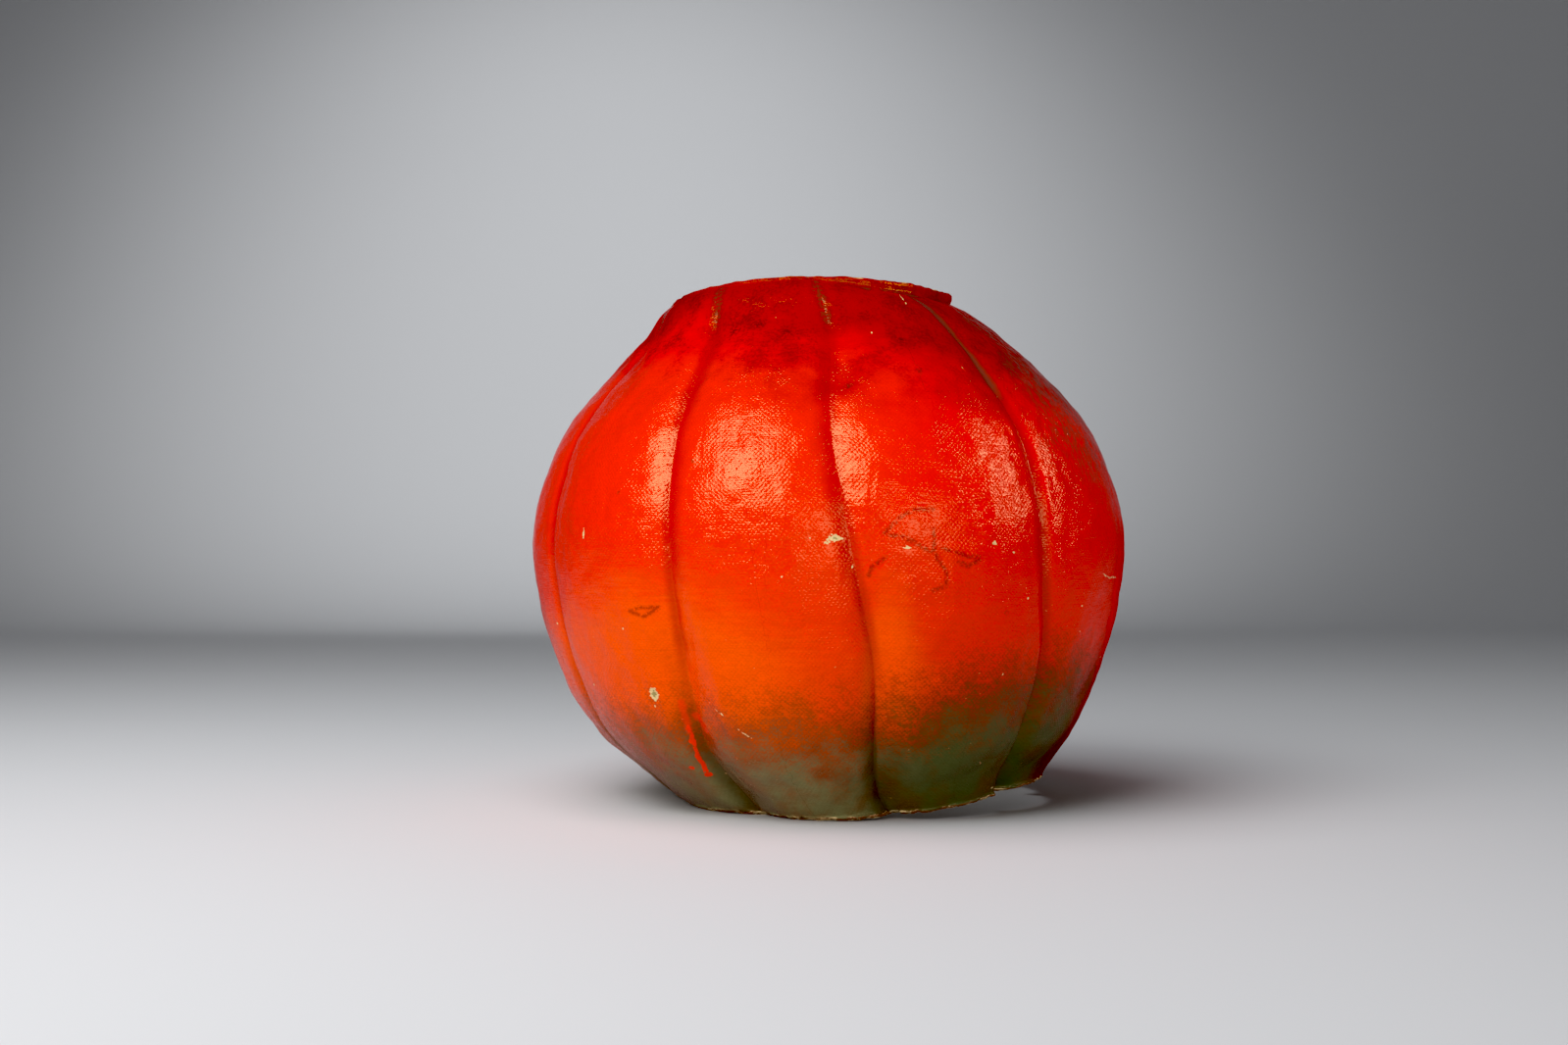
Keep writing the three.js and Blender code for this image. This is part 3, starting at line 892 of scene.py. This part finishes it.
def cutEdges(skin, colour):         # bare ground along the cut edges, with its cover
    t = paintTones
    edge = skin.cover("cutEdge", skin.station("fromEdge") + skin.sway(flake=-6))
    topEdge = skin.cover("collarEdge", abs(skin.fromCollar - paintFinish["topEdgeAt"]))
    topEdge = topEdge * skin.cover("collarFlakes", skin.flake + skin.slub * 0.5)
    edge = skin.pick("MAXIMUM", edge, topEdge)
    tone = skin.mix(skin.cover("edgeGround", skin.flake), t["edge"], t["ground"])
    return skin.mix(edge, colour, tone), edge


def barePaper(skin):                # the glued strips that show inside
    t = paintTones
    strips = skin.arrows("DIVIDE", skin.strayed, paintNoises["strips"])
    cells = skin.put("TexVoronoi", {"feature": "F1"}, {"Vector": strips, "Scale": 1.0}, "Color")
    paper = skin.mix(skin.split(cells)[0] * 0.5 + skin.patch * 0.4, t["paper"], t["paperDark"])
    return skin.mix(skin.cover("paperSpeckle", skin.speckle), paper, t["paperDark"])


def paintedCanvas(placed):
    t, f = paintTones, paintFinish
    skin = PaintedSkin("painted canvas")
    dustAndSheen = dustAndSheenCover(skin)
    stains = skin.cover("stain", skin.fromSpots(skin.strayed, placed["stains"]))
    stains = stains * skin.cover("stainSpeckle", skin.speckle)
    within = skin.cover("within", skin.station("inside") + skin.sway(patch=5))
    colour = greenPaint(skin, redPaints(skin))
    colour = runsAndCracks(skin, shadeAndAgedPaint(skin, colour, dustAndSheen, stains), placed)
    colour, bare = scratchesAndChips(skin, colour, placed)
    colour, edge = cutEdges(skin, colour)
    skin.feed("Base Color", skin.mix(within, colour, barePaper(skin)))

    dull = skin.pick("MAXIMUM", bare, edge, within)
    rough = f["roughness"] + skin.sway(patch=f["uneven"]) + stains * f["stained"]
    rough = rough + skin.cover("greenDull", skin.aboveGreen) + skin.pits * f["gaps"]
    skin.feed("Roughness", skin.maths("ADD", rough, dull * f["bare"], limit=True))
    skin.feed("Specular IOR Level", f["gloss"])
    skin.feed("Specular Tint", t["sheen"])

    relief = skin.weave * ((1 - within * canvasForm["threadWithin"]) * canvasForm["threadHeight"])
    for name, rise in f["rises"].items():
        relief = relief + getattr(skin, name) * rise
    skin.feed("Normal", skin.put("Bump", {}, {"Strength": 1.0, "Distance": mm, "Height": relief}))

    # the glaze only tints what is under it, reflections too, and is stronger near the collar, along the right
    # outline and low on the right: painted shade that darkens the colour and dims the sheen there
    top = skin.cover("shadeGlazeTop", skin.z + skin.sway(patch=22))
    foot = skin.east * skin.cover("shadeGlazeFoot", skin.z)
    side = skin.cover("shadeGlazeSide", skin.sideways) * skin.cover("shadeGlazeSideHeights", skin.z)
    glaze = f["glazeShare"] + (1 - f["glazeShare"]) * skin.pick("MAXIMUM", top, foot, side)
    skin.feed("Coat Weight", glaze * (1 - skin.pick("MAXIMUM", dull, dustAndSheen)))
    skin.feed("Coat IOR", 1.0)
    skin.feed("Coat Tint", t["glaze"])
    return skin.material


def buildShell():
    shell, shift, placed = shapeShell()
    shell.name = "paintedShell"
    shell.data.materials.clear()
    shell.data.materials.append(paintedCanvas(placed))
    shell.data.polygons.foreach_set("use_smooth", [True] * len(shell.data.polygons))
    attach(shell, "root")
    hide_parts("shell")
    print("shell shaped and painted:", len(shell.data.polygons), "faces")
    return shell, shift


studio = {      # the camera is placed in mm, the rest in metres
    "cameraSide": -22.75, "cameraBack": 1022, "cameraHeight": 132.6, "cameraPitch": 0.353,
    "lens": 46, "sensor": 36,
    "floorSize": 8, "backdropAt": 2.6, "backdropHeight": 2.2, "sweep": 0.85, "sweepSteps": 24,
    "near": 0.01,               # how close to the backdrop an edge counts as part of it
    "floorTone": rgb(218, 220, 223), "floorRoughness": 0.85,
    "aim": (0, 0, 0.12),        # where the softboxes point
    "softboxes": {      # azimuth, elevation, distance, size, power, tone, and what it lights if not all
        "keySoftbox": (-37, 38, 1.35, (1.0, 0.9), 10, (1.0, 0.98, 0.96), None),
        "keyCentre": (-37, 38, 1.34, (0.68, 0.7), 7, (1.0, 0.98, 0.96), "shell"),       # its brighter middle
        "sideSoftbox": (78, 26, 1.4, (0.22, 0.8), 5, (1.0, 0.98, 0.96), "shell"),
        "frontFill": (22, 10, 2.0, (1.4, 0.7), 9, (1.0, 1.0, 1.0), "shell"),
        "overheadSoftbox": (-52, 64, 1.25, (1.2, 1.1), 11, (0.98, 0.99, 1.0), "floor")},
    "backdropLight": {
        "place": (-0.35, 0.9, 1.7), "target": (-0.3, 2.6, 0.36), "spread": 78, "squash": 0.78, "radius": 0.2,
        "power": 80},
    "air": (0.93, 0.95, 1, 1), "ambient": 0.085,
    "blackLevel": (0.012, 0.014, 0.016),
}


def selectEdges(piece, chosen):
    for edge in piece.data.edges:
        edge.select = all(chosen(piece.data.vertices[v].co) for v in edge.vertices)


def addFloor():
    s = studio
    wall = s["backdropAt"] - s["near"]
    bpy.ops.object.select_all(action="DESELECT")
    middle = s["backdropAt"] - s["floorSize"] / 2
    bpy.ops.mesh.primitive_plane_add(size=s["floorSize"], location=(0, middle, 0))
    floor = bpy.context.object
    floor.name = "studioFloor"
    bpy.ops.object.transform_apply(location=True, rotation=True, scale=True)
    bpy.ops.object.mode_set(mode="EDIT")
    bpy.ops.mesh.select_all(action="DESELECT")
    bpy.ops.object.mode_set(mode="OBJECT")
    selectEdges(floor, lambda at: at.y > wall)
    bpy.ops.object.mode_set(mode="EDIT")
    bpy.ops.mesh.extrude_region_move(TRANSFORM_OT_translate={"value": (0, 0, s["backdropHeight"])})
    bpy.ops.object.mode_set(mode="OBJECT")
    selectEdges(floor, lambda at: at.y > wall and at.z < s["near"])
    bpy.ops.object.mode_set(mode="EDIT")
    bpy.ops.mesh.bevel(offset=s["sweep"], segments=s["sweepSteps"])
    bpy.ops.object.mode_set(mode="OBJECT")
    floor.data.polygons.foreach_set("use_smooth", [True] * len(floor.data.polygons))
    board = Board("studio paper")
    board.feed("Base Color", s["floorTone"])
    board.feed("Roughness", s["floorRoughness"])
    floor.data.materials.append(board.material)
    return floor


def lightOnly(lamp, piece):     # lets a lamp light one thing and leave the rest dark
    lamp.light_linking.receiver_collection = bpy.data.collections.new(lamp.name + "Targets")
    lamp.light_linking.receiver_collection.objects.link(piece)


def addSoftbox(name, azimuth, elevation, away, size, power, tone):
    azimuth, elevation = math.radians(azimuth), math.radians(elevation)
    out = Vector((math.sin(azimuth) * math.cos(elevation), -math.cos(azimuth) * math.cos(elevation),
                  math.sin(elevation)))
    bpy.ops.object.light_add(type="AREA", location=Vector(studio["aim"]) + out * away)
    lamp = bpy.context.object
    lamp.name = name
    lamp.rotation_euler = (-out).to_track_quat("-Z", "Y").to_euler()
    lamp.data.shape = "RECTANGLE"
    lamp.data.size, lamp.data.size_y = size
    lamp.data.energy = power
    lamp.data.color = tone
    return lamp


def addBackdropLight(light, floor):
    place, target = Vector(light["place"]), Vector(light["target"])
    bpy.ops.object.light_add(type="SPOT", location=place)
    lamp = bpy.context.object
    lamp.name = "backdropSpot"
    lamp.rotation_euler = (target - place).to_track_quat("-Z", "Y").to_euler()
    lightOnly(lamp, floor)
    lamp.data.spot_size = math.radians(light["spread"])
    lamp.scale.y = light["squash"]
    lamp.data.spot_blend = 1
    lamp.data.shadow_soft_size = light["radius"]
    lamp.data.energy = light["power"]


def setStudio(shell, shift):
    s = studio
    floor = addFloor()
    for name, (*light, lit) in s["softboxes"].items():
        lamp = addSoftbox(name, *light)
        if lit:
            lightOnly(lamp, {"shell": shell, "floor": floor}[lit])
    addBackdropLight(s["backdropLight"], floor)
    world = bpy.data.worlds.new("studioAir")
    bpy.context.scene.world = world
    world.use_nodes = True
    background = world.node_tree.nodes["Background"]
    background.inputs["Color"].default_value = s["air"]
    background.inputs["Strength"].default_value = s["ambient"]
    place = Vector((s["cameraSide"] + shift[0], shift[1] - s["cameraBack"], s["cameraHeight"])) * mm
    bpy.ops.object.camera_add(location=place, rotation=(math.radians(90 + s["cameraPitch"]), 0, 0))
    camera = bpy.context.object
    camera.data.lens = s["lens"]
    camera.data.sensor_width = s["sensor"]
    bpy.context.scene.camera = camera
    view = bpy.context.scene.view_settings
    view.view_transform = "Standard"
    view.use_curve_mapping = True
    view.curve_mapping.black_level = s["blackLevel"]
    view.curve_mapping.update()
    print("studio set")


shell, shift = buildShell()
setStudio(shell, shift)
